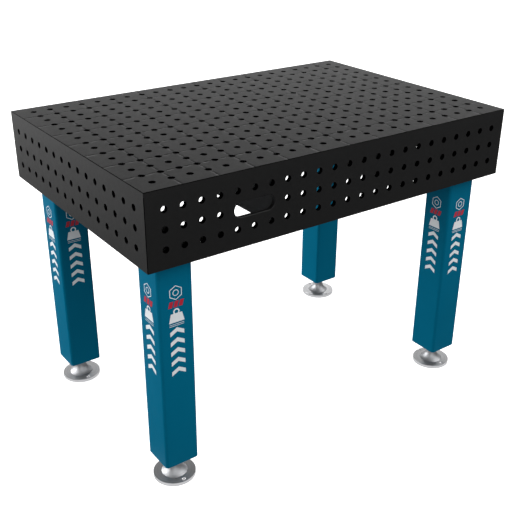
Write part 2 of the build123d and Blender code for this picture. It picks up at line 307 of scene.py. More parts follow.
# %% [markdown]
# ## Effects that several materials share
# *Steel grain* is the fine unevenness of rolled or cast metal: a wide cloudiness, a mottle of about
# a centimetre and a grain finer than a millimetre. *Rubbed edges* are where a surface loses its
# finish first; Cycles' Bevel node bends the normal near an edge, and the difference to the flat
# normal gives the mask. *Settled dust* lies on what faces up. Each is one node group, so one
# mend improves every material that uses it.

# %% Group helper
def new_group(name, numbers, masks):
    """A node group that takes a place and named numbers, and puts out named masks."""
    tree = bpy.data.node_groups.new(name, "ShaderNodeTree")
    tree.interface.new_socket("Where", in_out="INPUT", socket_type="NodeSocketVector")
    for label, value in numbers.items():
        number = tree.interface.new_socket(label, in_out="INPUT", socket_type="NodeSocketFloat")
        number.default_value = value
    for label in masks:
        tree.interface.new_socket(label, in_out="OUTPUT", socket_type="NodeSocketFloat")
    graph = Graph(tree)
    given = tree.nodes.new("NodeGroupInput").outputs
    graph.where = given["Where"]
    print("group:", name)
    return graph, given, tree.nodes.new("NodeGroupOutput").inputs


# %% Steel grain group
def steel_grain():
    g, given, made = new_group("steel grain", {"Mottle Scale": 70.0, "Grain Scale": 1400.0},
                               ("Cloud", "Mottle", "Grain"))
    g.feed(made["Cloud"], g.spread(g.noise(4.0, 3.0), 0.3, 0.7))
    g.feed(made["Mottle"], g.spread(g.noise(given["Mottle Scale"], 5.0, 0.6), 0.25, 0.75))
    g.feed(made["Grain"], g.noise(given["Grain Scale"], 2.0, 0.7))
    return g.tree


STEEL_GRAIN = steel_grain()


# %% Rubbed edges group
def rubbed_edges():
    g, given, made = new_group("rubbed edges", {"Reach": 0.8 * MM, "Breakup": 0.5}, ("Mask",))
    bent = g.put("Bevel", given["Reach"], options={"samples": 3}).outputs[0]
    flat = g.put("NewGeometry").outputs["Normal"]
    dot = g.put("VectorMath", bent, flat, options={"operation": "DOT_PRODUCT"}).outputs["Value"]
    patchy = g.spread(g.noise(160.0, 4.0, 0.65), 0.35, 0.65)
    lost = g.times(given["Breakup"], g.calc("SUBTRACT", 1.0, patchy))
    g.feed(made["Mask"], g.times(g.spread(dot, 0.995, 0.86), g.calc("SUBTRACT", 1.0, lost)))
    return g.tree


RUBBED_EDGES = rubbed_edges()


# %% Settled dust group
def settled_dust():
    g, given, made = new_group("settled dust", {"Amount": 0.2}, ("Mask",))
    up = g.put("SeparateXYZ", g.put("NewGeometry").outputs["Normal"]).outputs["Z"]
    patches = g.spread(g.noise(14.0, 6.0, 0.7), 0.35, 0.75)
    lying = g.times(g.spread(up, 0.5, 1.0), patches)
    g.feed(made["Mask"], g.times(lying, given["Amount"]))
    return g.tree


SETTLED_DUST = settled_dust()

# %% [markdown]
# ## The table's finishes
# The plates are plasma nitrided: a hard charcoal skin, satin, with no paint on it. It is very dark,
# so most of what the eye sees is the soft reflection of the room. The chamfers get a painted shade:
# they are coloured near black and lose their sheen, which gives the dark line along the edges. The
# scribed lines are burnt in by a laser. The walls of the holes get a painted shade as well, near
# black and matt, so the holes read dark. The inner sides were never ground, so they are a lighter, rougher
# grey.
# The ribs below are the same steel, less finished, with heat marks from welding.

# %% Nitrided plate
PLATE_SHINE = 0.26
# Near black: the laser burn of the scribed lines, and a painted shade on the chamfers.
BURNT = (0.0015, 0.0015, 0.0016)


def nitrided_plate():
    f = Finish("nitrided plate", Specular_IOR_Level=PLATE_SHINE)
    grain = f.use(STEEL_GRAIN, Mottle_Scale=90.0, Grain_Scale=1600.0)
    worn = f.use(RUBBED_EDGES, Reach=0.7 * MM, Breakup=0.6)["Mask"]
    dust = f.use(SETTLED_DUST, Amount=0.12)["Mask"]
    chamfer, scribe, bored, inside = [f.worked(m) for m in (CHAMFERED, SCRIBED, BORED, INSIDE)]
    skin = f.mix(grain["Cloud"], (0.0036, 0.0037, 0.0038), (0.0046, 0.0046, 0.0047))
    scale = f.mix(grain["Mottle"], (0.030, 0.0305, 0.032), (0.050, 0.049, 0.048))
    # The chamfers get a painted shade: near-black colour for the shade along the plate's edges.
    skin = f.coats(skin, (f.between(grain["Mottle"], 0.0, 0.35), (0.009, 0.0091, 0.0093)),
                   (dust, (0.06, 0.059, 0.057)), (f.times(worn, 0.15), (0.06, 0.06, 0.061)),
                   # The hole walls get a painted shade: near-black colour, so the holes read as dark
                   # recesses.
                   (inside, scale), (chamfer, BURNT), (scribe, BURNT), (bored, (0.0006, 0.0006, 0.0007)))
    rough = f.total(f.between(grain["Mottle"], 0.44, 0.52),
                    f.spread(grain["Grain"], 0.3, 0.7, -0.03, 0.03), f.times(chamfer, -0.16),
                    f.times(bored, 0.4), f.times(inside, 0.15))
    # The hole walls, the scribed lines and the chamfers lose their sheen; on the hole walls and the chamfers
    # this deepens their painted shade.
    matt = f.total(bored, f.times(scribe, 0.9), f.times(chamfer, 0.97))
    f.feed(f.shader["Specular IOR Level"], f.between(matt, PLATE_SHINE, 0.0))
    return f.dress(skin, rough, grain["Grain"], 0.02 * MM)


# %% Welded frame
def welded_frame():
    f = Finish("welded frame", Specular_IOR_Level=0.45)
    grain = f.use(STEEL_GRAIN, Mottle_Scale=55.0, Grain_Scale=1100.0)
    worn = f.use(RUBBED_EDGES, Reach=0.9 * MM, Breakup=0.7)["Mask"]
    heat = f.spread(f.noise(9.0, 3.0), 0.56, 0.75, 0.0, 0.5)
    skin = f.mix(grain["Cloud"], (0.042, 0.043, 0.045), (0.058, 0.057, 0.056))
    skin = f.coats(skin, (heat, (0.085, 0.062, 0.045)), (f.times(worn, 0.5), (0.13, 0.13, 0.13)))
    return f.dress(skin, f.between(grain["Mottle"], 0.52, 0.68), grain["Grain"], 0.04 * MM)


# %% Weld metal
def weld_metal():
    f = Finish("weld metal", Metallic=0.75)
    grain = f.use(STEEL_GRAIN, Mottle_Scale=240.0, Grain_Scale=2400.0)
    skin = f.mix(grain["Mottle"], (0.16, 0.15, 0.14), (0.34, 0.32, 0.30))
    blued = f.spread(f.noise(120.0, 2.0), 0.5, 0.68, 0.0, 0.6)
    skin = f.mix(blued, skin, (0.05, 0.065, 0.11))
    return f.dress(skin, f.between(grain["Mottle"], 0.32, 0.5), grain["Grain"], 0.03 * MM)


NITRIDED_PLATE, WELDED_FRAME, WELD_METAL = nitrided_plate(), welded_frame(), weld_metal()
print("materials:", NITRIDED_PLATE.name, "/", WELDED_FRAME.name, "/", WELD_METAL.name)

# %% [markdown]
# The legs are powder coated. The powder melts into a skin of about 0.08 mm that never lies quite
# flat: it keeps a soft orange peel of a few millimetres, which breaks up the reflections. Over a
# sharp edge it runs thin, so the edge shows a little lighter.

# %% Powder coat
def powder_coat():
    f = Finish("powder coat", Specular_IOR_Level=0.04)
    grain = f.use(STEEL_GRAIN, Mottle_Scale=30.0, Grain_Scale=420.0)
    worn = f.use(RUBBED_EDGES, Reach=1.2 * MM, Breakup=0.5)["Mask"]
    dust = f.use(SETTLED_DUST, Amount=0.2)["Mask"]
    skin = f.mix(grain["Cloud"], (0.0, 0.108, 0.192), (0.0, 0.116, 0.206))
    skin = f.coats(skin, (f.times(worn, 0.3), (0.012, 0.19, 0.30)), (dust, (0.35, 0.35, 0.34)))
    return f.dress(skin, f.between(grain["Mottle"], 0.36, 0.44), grain["Grain"], 0.05 * MM)


POWDER_COAT = powder_coat()
print("material:", POWDER_COAT.name)

# %% [markdown]
# The feet are turned on a lathe and zinc plated. The cutting tool leaves fine rings, and a ring
# now and then is a little deeper. Rings depend only on the distance from the axis and on the height,
# so the shader reads both from the piece's own coordinates: each foot is built round its own axis.
# The boss is a little rougher than the disc, and its colour is mixed toward dark grey: a painted shade that
# tones down its reflections.

# %% Turned and plated metal
def turned_metal(name, light, dark, rough_low, rough_high, ring_depth):
    f = Finish(name, Metallic=1.0, Anisotropic=0.35)
    place = f.put("SeparateXYZ", f.where).outputs
    radius = f.calc("SQRT", f.total(f.times(place["X"], place["X"]), f.times(place["Y"], place["Y"])))
    cut = f.put("CombineXYZ", f.total(radius, f.times(place["Z"], 0.73))).outputs[0]
    fine, wide = f.noise(2600.0, 1.0, where=cut), f.noise(330.0, 3.0, 0.6, where=cut)
    stain = f.spread(f.noise(60.0, 4.0, 0.6), 0.5, 0.75, 0.0, 0.3)
    worn = f.use(RUBBED_EDGES, Reach=0.5 * MM, Breakup=0.3)["Mask"]
    # Painted shade on the boss: the metal's colour is mixed toward dark grey to dim its reflections.
    dull = f.worked(DULL)
    skin = f.coats(f.mix(f.spread(wide, 0.35, 0.65), light, dark), (stain, dark),
                   (f.times(worn, 0.5), (0.86, 0.86, 0.87)), (f.times(dull, 0.8), (0.21, 0.215, 0.225)))
    rough = f.total(f.spread(wide, 0.3, 0.7, rough_low, rough_high), f.times(dull, 0.12))
    return f.dress(skin, rough, f.total(fine, f.times(wide, 1.5)), ring_depth)


TURNED_ZINC = turned_metal("turned zinc", (0.86, 0.86, 0.87), (0.66, 0.665, 0.68), 0.26, 0.42, 0.012 * MM)
MACHINED_STEEL = turned_metal("machined steel", (0.45, 0.45, 0.46), (0.30, 0.30, 0.31), 0.28, 0.42,
                              0.015 * MM)
BRONZE = turned_metal("turned bronze", (0.62, 0.40, 0.19), (0.45, 0.28, 0.13), 0.25, 0.38, 0.01 * MM)


# %% Zinc-plated fasteners
def zinc_fastener():
    f = Finish("zinc fastener", Metallic=1.0)
    grain = f.use(STEEL_GRAIN, Mottle_Scale=180.0, Grain_Scale=2000.0)
    worn = f.use(RUBBED_EDGES, Reach=0.4 * MM, Breakup=0.4)["Mask"]
    skin = f.mix(grain["Mottle"], (0.50, 0.51, 0.53), (0.62, 0.62, 0.61))
    skin = f.mix(f.times(worn, 0.6), skin, (0.80, 0.80, 0.80))
    return f.dress(skin, f.between(grain["Mottle"], 0.26, 0.4), grain["Grain"], 0.01 * MM)


ZINC_FASTENER = zinc_fastener()


# %% Printed marks
def printed_film(name, colour, worn_colour):
    """Ink on thin film: even, a little glossier than the paint, with faint scuffs."""
    f = Finish(name, Specular_IOR_Level=0.5)
    scuffs = f.spread(f.noise(130.0, 6.0, 0.7), 0.58, 0.78, 0.0, 0.35)
    rough = f.spread(scuffs, 0.0, 0.35, 0.34, 0.5)
    return f.dress(f.mix(scuffs, colour, worn_colour), rough, f.noise(420.0, 2.0), 0.03 * MM)


WHITE_FILM = printed_film("white film", (0.72, 0.75, 0.77), (0.45, 0.52, 0.56))
RED_FILM = printed_film("red film", (0.42, 0.012, 0.03), (0.25, 0.03, 0.05))
print("materials:", len(bpy.data.materials))

# %% [markdown]
# ## Perforated plates
# The worktop and the four side plates are 12 mm steel with laser-cut 16 mm holes on a 50 mm grid.
# The face is divided into square cells with one hole each. Inside a cell the mesh runs like spokes
# from the square outline to the round rim, so neighbouring cells share their points. Where a
# scribed line passes through a hole's centre, the spoke is tripled and its middle pressed down:
# the line is then a real V groove. Every rim is chamfered by 0.9 mm, so that a pin finds its way in.

# %% Cells and holes
SPOKES = 24
SPOKE_STEP = 2 * math.pi / SPOKES
RIM_CHAMFER = 0.9 * MM
SCRIBE_HALF_WIDTH, SCRIBE_DEPTH = 0.5 * MM, 0.3 * MM


def spoke_shifts(wide):
    """Each spoke's direction with its sideways shifts. The four main spokes are tripled if wide."""
    for step in range(SPOKES):
        main = step % (SPOKES // 4) == 0
        for shift in (-wide, 0.0, wide) if main and wide else (0.0,):
            yield SPOKE_STEP * step, shift


def loop_round(centre, wide, radius=None):
    """Points round a hole, anticlockwise: on a circle, or on the cell's outline without a radius."""
    loop = []
    for angle, shift in spoke_shifts(wide):
        c, s = math.cos(angle), math.sin(angle)
        reach = math.sqrt(radius**2 - shift**2) if radius else HALF_CELL / max(abs(c), abs(s))
        loop.append((centre[0] + reach * c - shift * s, centre[1] + reach * s + shift * c))
    return loop


def stops_along(centres, wide):
    """Places on a cell border where the mesh has points, over a row of cells."""
    quarter = range(-SPOKES // 8, SPOKES // 8 + 1)
    fan = [HALF_CELL * math.tan(SPOKE_STEP * k) for k in quarter] + [-wide, wide]
    return sorted({round(c + f, 8) for c in centres for f in fan})


def rectangle_loop(us, vs):
    """The outline of a rectangle, anticlockwise, with a point at each stop."""
    bottom, right = [(u, vs[0]) for u in us[:-1]], [(us[-1], v) for v in vs[:-1]]
    top, left = [(u, vs[-1]) for u in us[:0:-1]], [(us[0], v) for v in vs[:0:-1]]
    return bottom + right + top + left


def border_cells(us, vs):
    """The outermost cells of a grid of lines, as corners in anticlockwise order."""
    for i, j in product(range(len(us) - 1), range(len(vs) - 1)):
        if i in (0, len(us) - 2) or j in (0, len(vs) - 2):
            yield (us[i], vs[j]), (us[i + 1], vs[j]), (us[i + 1], vs[j + 1]), (us[i], vs[j + 1])


print("spokes per hole:", SPOKES)

# %% [markdown]
# A plate's outer rim is handled the same way: the outline of the face is one loop, the outer
# corner of the chamfer a second, and the back edge a third. Each side of a plate can have its own
# chamfer, because a plate that butts against another has none there.

# %% The plate builder
class PerforatedPlate:
    """A plate in its own (u, v, w) space: u and v lie in the outer face, w points out of it."""

    def __init__(self, span_u, span_v, columns, rows, chamfers, scribed_u=(), scribed_v=()):
        self.shell = Shell()
        self.span_u, self.span_v = span_u, span_v
        self.columns, self.rows = columns, rows
        self.chamfers = dict(zip(("left", "right", "bottom", "top"), chamfers))
        self.scribed_u = {round(u, 6) for u in scribed_u}
        self.scribed_v = {round(v, 6) for v in scribed_v}
        self.wide = SCRIBE_HALF_WIDTH if scribed_u or scribed_v else 0.0
        self.us, self.vs = stops_along(columns, self.wide), stops_along(rows, self.wide)

    def on_face(self, p):
        """A point of the outer face, pressed down where a scribed line runs."""
        in_line = round(p[0], 6) in self.scribed_u or round(p[1], 6) in self.scribed_v
        return (p[0], p[1], -SCRIBE_DEPTH if in_line else 0.0)

    def front(self, *flat):
        """A face of the outer side, marked where it belongs to a scribed line."""
        corners = [self.on_face(p) for p in flat]
        self.shell.face(corners, SCRIBED if any(c[2] < 0 for c in corners) else 0.0)

    def back(self, *flat):
        """A face of the inner side, with its points in the same order as seen from outside."""
        self.shell.face([(*p, -PLATE) for p in reversed(flat)], INSIDE)

    def opening(self, border, outer_rim, inner_rim, wall=BORED):
        """A hole with a chamfered rim inside a border that has as many points."""
        for i in range(len(border)):
            j = (i + 1) % len(border)
            self.front(border[i], border[j], outer_rim[j], outer_rim[i])
            self.back(border[i], border[j], inner_rim[j], inner_rim[i])
        depths = [[(*p, -depth) for p in inner_rim] for depth in (RIM_CHAMFER, PLATE)]
        self.shell.wrap([[self.on_face(p) for p in outer_rim], *depths], wall)

    def fixture_hole(self, centre):
        self.opening(*[loop_round(centre, self.wide, r) for r in (None, HOLE_R + RIM_CHAMFER, HOLE_R)])

    def margins_and_rim(self):
        """The strips between the cells and the plate's edges, on both sides, and the rim between."""
        (u0, u1), (v0, v1), cut = self.span_u, self.span_v, self.chamfers
        left, right, low, high = u0 + cut["left"], u1 - cut["right"], v0 + cut["bottom"], v1 - cut["top"]
        us, vs = [left, *self.us, right], [low, *self.vs, high]
        for quad in border_cells(us, vs):
            self.front(*quad)
        cut_off = {(u0, v0): [(u0, low), (left, v0)], (u1, v0): [(right, v0), (u1, low)],
                   (u1, v1): [(u1, high), (right, v1)], (u0, v1): [(left, v1), (u0, high)]}
        for quad in border_cells([u0, *self.us, u1], [v0, *self.vs, v1]):
            self.back(*[p for corner in quad for p in cut_off.get(corner, [corner])])
        edges = [(u, v0, 0, 1, cut["bottom"]) for u in us] + [(u1, v, -1, 0, cut["right"]) for v in vs]
        edges += [(u, v1, 0, -1, cut["top"]) for u in us[::-1]]
        edges += [(u0, v, 1, 0, cut["left"]) for v in vs[::-1]]
        face = [self.on_face((u + n * c, v + m * c)) for u, v, n, m, c in edges]
        edge = [(u, v, -c) for u, v, n, m, c in edges]
        self.shell.wrap([edge, face], CHAMFERED)
        self.shell.wrap([[(u, v, -PLATE) for u, v, *_ in edges], edge])

    def build(self, left_out=()):
        for column, row in product(self.columns, self.rows):
            if (round(column, 6), round(row, 6)) not in left_out:
                self.fixture_hole((column, row))
        self.margins_and_rim()
        return self.shell


print("plate builder ready")

# %% [markdown]
# ## The hand slot
# The front plate has one long opening for a hand, in place of three holes. Its outline is a
# straight-sided slot with round ends. The three cells it covers are merged into one border, and
# each border point looks for the nearest point on the slot, which spreads the spokes evenly.

# %% Slot outline
SLOT_LENGTH, SLOT_HEIGHT = 120 * MM, 40 * MM
SLOT_COLUMN = -300 * MM
SLOT_CELLS = 3


def slot_loop(border, centre, radius):
    """Points on a slot of that end radius, one for each point of the border round it."""
    straight = (SLOT_LENGTH - SLOT_HEIGHT) / 2
    loop = []
    for u, v in border:
        spine = max(-straight, min(straight, u - centre[0]))
        du, dv = u - centre[0] - spine, v - centre[1]
        reach = radius / math.hypot(du, dv)
        loop.append((centre[0] + spine + du * reach, centre[1] + dv * reach))
    return loop


def cut_slot(plate, centre):
    """Cuts the slot into a plate, and returns the holes that it takes the place of."""
    cells = [centre[0] + (i - (SLOT_CELLS - 1) / 2) * HOLE_PITCH for i in range(SLOT_CELLS)]
    border = rectangle_loop(stops_along(cells, plate.wide), stops_along([centre[1]], plate.wide))
    outer, inner = [slot_loop(border, centre, SLOT_HEIGHT / 2 + more) for more in (RIM_CHAMFER, 0)]
    plate.opening(border, outer, inner, 0.0)
    return {(round(cell, 6), round(centre[1], 6)) for cell in cells}


# %% Build the five plates
def hole_rows(half_span):
    """Hole positions along one direction, centred on 0."""
    count = int(round(2 * (half_span - HOLE_PITCH) / HOLE_PITCH, 6)) + 1
    return [(i - (count - 1) / 2) * HOLE_PITCH for i in range(count)]


COLUMNS, ROWS = hole_rows(HALF_LENGTH), hole_rows(HALF_WIDTH)
SIDE_ROWS = [TOP_Z - HOLE_PITCH * (i + 1) for i in (2, 1, 0)]
SIDE_SPAN = (BOX_BOTTOM_Z, UNDER_TOP_Z)
SOFTENED = 0.4 * MM


def plate_place(origin, along, up):
    """Turns plate points into the table's own: along and up are the directions of u and v."""
    basis = np.array([along, up, np.cross(along, up)], float)
    return lambda points: points @ basis + np.array(origin, float)


def add_plate(node, plate, place, left_out=()):
    mesh = mesh_from(plate.build(left_out), node, place)
    add_piece(f"{node}_cut", mesh, NITRIDED_PLATE, [node])


worktop = PerforatedPlate((-HALF_LENGTH, HALF_LENGTH), (-HALF_WIDTH, HALF_WIDTH), COLUMNS, ROWS,
                          [EDGE_CHAMFER] * 4, COLUMNS[1::2], ROWS[1::2])
add_plate("top_plate", worktop, plate_place((0, 0, TOP_Z), (1, 0, 0), (0, 1, 0)))

for name, side in (("front", -1), ("rear", 1)):
    plate = PerforatedPlate((-HALF_LENGTH, HALF_LENGTH), SIDE_SPAN, COLUMNS, SIDE_ROWS,
                            [EDGE_CHAMFER, EDGE_CHAMFER, SOFTENED, 0.0])
    slot_holes = cut_slot(plate, (SLOT_COLUMN, SIDE_ROWS[1])) if side < 0 else ()
    place = plate_place((0, side * HALF_WIDTH, 0), (-side, 0, 0), (0, 0, 1))
    add_plate(f"{name}_side_plate", plate, place, slot_holes)

for name, side in (("left", -1), ("right", 1)):
    plate = PerforatedPlate((-INNER_Y, INNER_Y), SIDE_SPAN, ROWS, SIDE_ROWS, [0.0, 0.0, SOFTENED, 0.0])
    place = plate_place((side * HALF_LENGTH, 0, 0), (0, side, 0), (0, 0, 1))
    add_plate(f"{name}_side_plate", plate, place)

# %% [markdown]
# ## Legs
# Each leg is a 100 mm square tube with a 5 mm wall. The corners of a drawn tube are true arcs, a
# little thicker than the flats, and they carry the long vertical highlights, so the section is made
# from arcs and not from a bevelled box. The sawn end is softened by half a millimetre. The
# bore is kept open, because the flange above and the end plate below close it.

# %% Build the leg tubes
TUBE_WALL = 5 * MM
TUBE_CORNER_R, BORE_CORNER_R = 9 * MM, 7 * MM
ARC_STEPS = 8
SAWN_EDGE = 0.5 * MM


def rounded_square(half, radius):
    """A square with round corners, anticlockwise, as (x, y, normal x, normal y)."""
    loop = []
    for quarter in range(4):
        middle = math.pi / 4 + quarter * math.pi / 2
        cx = math.copysign(half - radius, math.cos(middle))
        cy = math.copysign(half - radius, math.sin(middle))
        for step in range(ARC_STEPS + 1):
            angle = (quarter + step / ARC_STEPS) * math.pi / 2
            c, s = math.cos(angle), math.sin(angle)
            loop.append((cx + radius * c, cy + radius * s, c, s))
    return loop


def build_leg_tube(corner):
    node, axis = f"leg_tube_{corner}", LEG_AXES[corner]
    bottom, top = [point[2] for point in box_of(node)]
    outside = rounded_square(TUBE_HALF, TUBE_CORNER_R)
    inside = rounded_square(TUBE_HALF - TUBE_WALL, BORE_CORNER_R)

    def ring(section, z, inset=0.0):
        return [(axis[0] + x - n * inset, axis[1] + y - m * inset, z) for x, y, n, m in section]

    shell = Shell()
    shell.wrap([ring(inside, top), ring(inside, bottom), ring(outside, bottom, SAWN_EDGE),
                ring(outside, bottom + SAWN_EDGE), ring(outside, top)], joined=True)
    add_piece(f"{node}_coated", shell, POWDER_COAT, [node])


for corner in CORNERS:
    build_leg_tube(corner)

# %% [markdown]
# ## Printed marks on the legs
# The legs carry printed film: an outlined nut, three red blocks, a kettle weight for the rated
# load, thin rules and a column of chevrons. Film stands 0.15 mm proud, so it is made as thin solid
# strips between two lines. A closed pair of lines gives a ring, an open pair a filled shape.

# %% Strips of film
FILM, FILM_SUNK = 0.15 * MM, 0.05 * MM


def film_strip(shell, first, second, closed=False):
    """A thin solid between two lines of (across, height) points on a leg's face."""
    corners = [[(*p, w) for p in line] for line, w in
               ((second, FILM), (first, FILM), (first, -FILM_SUNK), (second, -FILM_SUNK))]
    shell.wrap(corners, joined=True, closed=closed)
    if not closed:
        shell.face([line[0] for line in corners])
        shell.face([line[-1] for line in corners[::-1]])


def film_block(shell, half_top, top, half_foot, foot, lean=0.0, middle=0.0):
    """A filled shape with four corners and level ends. lean shifts its foot to the left."""
    film_strip(shell, [(middle + s * half_top + lean / 2, top) for s in SIDES],
               [(middle + s * half_foot - lean / 2, foot) for s in SIDES])


def arc(centre, radius, first, last, count):
    """Points on a circle between two angles."""
    return [(centre[0] + radius * math.cos(a), centre[1] + radius * math.sin(a))
            for a in np.linspace(first, last, count)]


def film_ring(shell, centre, radius, line, count, start=0.0):
    """An outlined polygon, anticlockwise from a start angle. With many corners it is a circle."""
    last = start + 2 * math.pi * (1 - 1 / count)
    film_strip(shell, *[arc(centre, r, start, last, count) for r in (radius - line, radius)], True)


print("film", FILM * 1000, "mm proud")

# %% The printed marks
MARKS_START = TOP_Z - 274 * MM
HEXAGON_R, HEXAGON_LINE = 20 * MM, 2.2 * MM
BORE_R, BORE_LINE = 8.5 * MM, 1.8 * MM
BLOCK_TOP, BLOCK_HALF, BLOCK_HEIGHT = 42.5 * MM, 5.5 * MM, 17 * MM
BLOCK_LEAN, BLOCK_PITCH = 5 * MM, 15 * MM
BODY_TOP = MARKS_START - 77 * MM
BODY_FOOT = BODY_TOP - 25 * MM
BODY_TOP_HALF, BODY_FOOT_HALF = 16 * MM, 22 * MM
HANDLE_R, HANDLE_LINE, HANDLE_RISE, FILM_GAP = 9 * MM, 3.6 * MM, 4.6 * MM, 0.04 * MM
RULES, RULE_HALF, RULE_LINE, RULE_PITCH = 2, 21 * MM, 1.2 * MM, 4.5 * MM
CHEVRONS, CHEVRON_START, CHEVRON_PITCH = 5, 15 * MM, 29 * MM
CHEVRON_HALF, CHEVRON_RISE, CHEVRON_LINE = 20 * MM, 11 * MM, 12 * MM


def white_marks(shell):
    """The outlined nut, the weight, the rules and the chevrons, from the top down."""
    nut, handle = (0.0, MARKS_START - HEXAGON_R), (0.0, BODY_TOP + HANDLE_RISE)
    film_ring(shell, nut, HEXAGON_R, HEXAGON_LINE, 6, math.pi / 2)
    film_ring(shell, nut, BORE_R, BORE_LINE, 32)
    film_block(shell, BODY_TOP_HALF, BODY_TOP, BODY_FOOT_HALF, BODY_FOOT)
    rims = []
    for radius in (HANDLE_R - HANDLE_LINE, HANDLE_R):
        start = math.asin((FILM_GAP - HANDLE_RISE) / radius)
        rims.append(arc(handle, radius, start, math.pi - start, 25))
    film_strip(shell, *rims)
    for i in range(RULES):
        rule = BODY_FOOT - (i + 1) * RULE_PITCH
        film_block(shell, RULE_HALF, rule, RULE_HALF, rule - RULE_LINE)
    for i in range(CHEVRONS):
        peak = BODY_FOOT - CHEVRON_START - i * CHEVRON_PITCH
        upper = [(-CHEVRON_HALF, peak - CHEVRON_RISE), (0, peak), (CHEVRON_HALF, peak - CHEVRON_RISE)]
        film_strip(shell, upper, [(u, v - CHEVRON_LINE) for u, v in upper])


def red_marks(shell):
    """Three leaning blocks between the nut and the weight."""
    top = MARKS_START - BLOCK_TOP
    for i in (-1, 0, 1):
        film_block(shell, BLOCK_HALF, top, BLOCK_HALF, top - BLOCK_HEIGHT, BLOCK_LEAN, i * BLOCK_PITCH)


def print_leg(corner, outward):
    """Film on two faces of a leg: the long side and the short side that face outward."""
    for label, draw, finish in (("white", white_marks, WHITE_FILM), ("red", red_marks, RED_FILM)):
        marks, both = Shell(), Shell()
        draw(marks)
        for nx, ny in outward:
            x, y = LEG_AXES[corner][:2] + TUBE_HALF * np.array((nx, ny))
            both.take(marks, plate_place((x, y, 0), (-ny, nx, 0), (0, 0, 1)))
        add_piece(f"printed_film_{label}_{corner}", both, finish)


for corner in CORNERS:
    print_leg(corner, ((1, 0), (0, 1)) if corner == "rear_right" else ((-1, 0), (0, -1)))

# %% [markdown]
# ## Welds
# The ribs, the corner plates and the legs are MIG welded. A fillet weld has a slightly bulged face
# and fine ripples, because the pool freezes in steps as the torch moves on. A bead is swept along
# its corner: each ring of points runs from one toe over the bulge to the other toe and back to the
# root. Every second ring is a little smaller, and the middle of each ring lags, which gives the
# crescent ripples. Long joints are only stitched, as on the real frame, to keep the table flat.

# %% Sweep a bead
RIPPLE_STEP, RIPPLE_SHARE, RIPPLE_LAG = 1.3 * MM, 0.09, 0.6
BULGE = 1.35
FACE_POINTS = 5
CRATER_RINGS = 3
WELD_LEG = 5 * MM


def bead(shell, path, toe_a, toe_b, leg=WELD_LEG, closed=False):
    """A fillet weld along a path. The toes are unit vectors from the corner along its two walls."""
    path = np.array(path, float)
    count = len(path)
    toe_a, toe_b = [np.broadcast_to(np.array(toe, float), path.shape) for toe in (toe_a, toe_b)]
    ahead = np.roll(path, -1, 0) - path if closed else np.gradient(path, axis=0)
    ahead /= np.linalg.norm(ahead, axis=1)[:, None]
    rings = []
    for i in range(count):
        size = leg * (1 - RIPPLE_SHARE * (i % 2))
        if not closed:
            from_end = min(i, count - 1 - i) + 0.5
            size *= min(1.0, math.sqrt(from_end / CRATER_RINGS))
        ring = [tuple(path[i])]
        for angle in np.linspace(0, math.pi / 2, FACE_POINTS):
            c, s = math.cos(angle), math.sin(angle)
            reach = size / (c**BULGE + s**BULGE) ** (1 / BULGE)
            lag = RIPPLE_STEP * RIPPLE_LAG * math.sin(2 * angle)
            ring.append(tuple(path[i] + reach * (toe_a[i] * c + toe_b[i] * s) - ahead[i] * lag))
        rings.append(ring)
    if np.dot(np.cross(toe_a[0], toe_b[0]), ahead[0]) < 0:
        rings = [ring[::-1] for ring in rings]
    shell.wrap(rings, joined=closed)
    if not closed:
        shell.face(rings[0][::-1])
        shell.face(rings[-1])


def stitches(shell, at, along, middles, toe_a, toe_b, length=40 * MM, leg=WELD_LEG):
    """Short beads on one straight joint. at is a point of the joint, along its direction."""
    at, along = np.array(at, float), np.array(along, float)
    steps = 2 * max(2, round(length / RIPPLE_STEP / 2))
    for middle in middles:
        centre = at + along * middle
        bead(shell, [centre + along * length * (i / steps - 0.5) for i in range(steps + 1)],
             toe_a, toe_b, leg)


print("ripples every", round(2 * RIPPLE_STEP * 1000, 1), "mm")

# %% [markdown]
# The joints are found from the boxes of the CAD parts. Each list of middles keeps the stitches
# clear of the fixture holes and of crossing ribs.

# %% Weld the ribs
rib_low, rib_high = box_of("cross_rib_right")
long_low, long_high = box_of("long_rib_rear")
HALF_RIB = (rib_high[0] - rib_low[0]) / 2
RIB_X, RIB_Y = (rib_low[0] + rib_high[0]) / 2, (long_low[1] + long_high[1]) / 2
UP, DOWN = (0, 0, 1), (0, 0, -1)
X, Y = np.array((1.0, 0, 0)), np.array((0, 1.0, 0))
ON_CROSS_RIB = [s * m * MM for s, m in product(SIDES, (50, 200, 325))]
ON_LONG_RIB = [m * MM for m in (-500, -350, -120, 0, 120, 350, 500)]
RIB_END_STITCHES, RIB_MIDDLE = (0.745, 0.835), (0.82,)


def weld_ribs():
    shell = Shell()
    for sx, face in product(SIDES, SIDES):
        x = sx * RIB_X + face * HALF_RIB
        stitches(shell, (x, 0, UNDER_TOP_Z), Y, ON_CROSS_RIB, face * X, DOWN)
        for sy in SIDES:
            stitches(shell, (x, sy * INNER_Y, 0), UP, RIB_END_STITCHES, face * X, -sy * Y)
    for sy, face in product(SIDES, SIDES):
        y = sy * RIB_Y + face * HALF_RIB
        stitches(shell, (0, y, UNDER_TOP_Z), X, ON_LONG_RIB, face * Y, DOWN)
        for sx in SIDES:
            stitches(shell, (sx * INNER_X, y, 0), UP, RIB_MIDDLE, face * Y, -sx * X)
            for side in SIDES:
                x = sx * RIB_X + side * HALF_RIB
                stitches(shell, (x, y, 0), UP, RIB_MIDDLE, face * Y, side * X)
    return shell


add_piece("rib_welds", weld_ribs(), WELD_METAL)

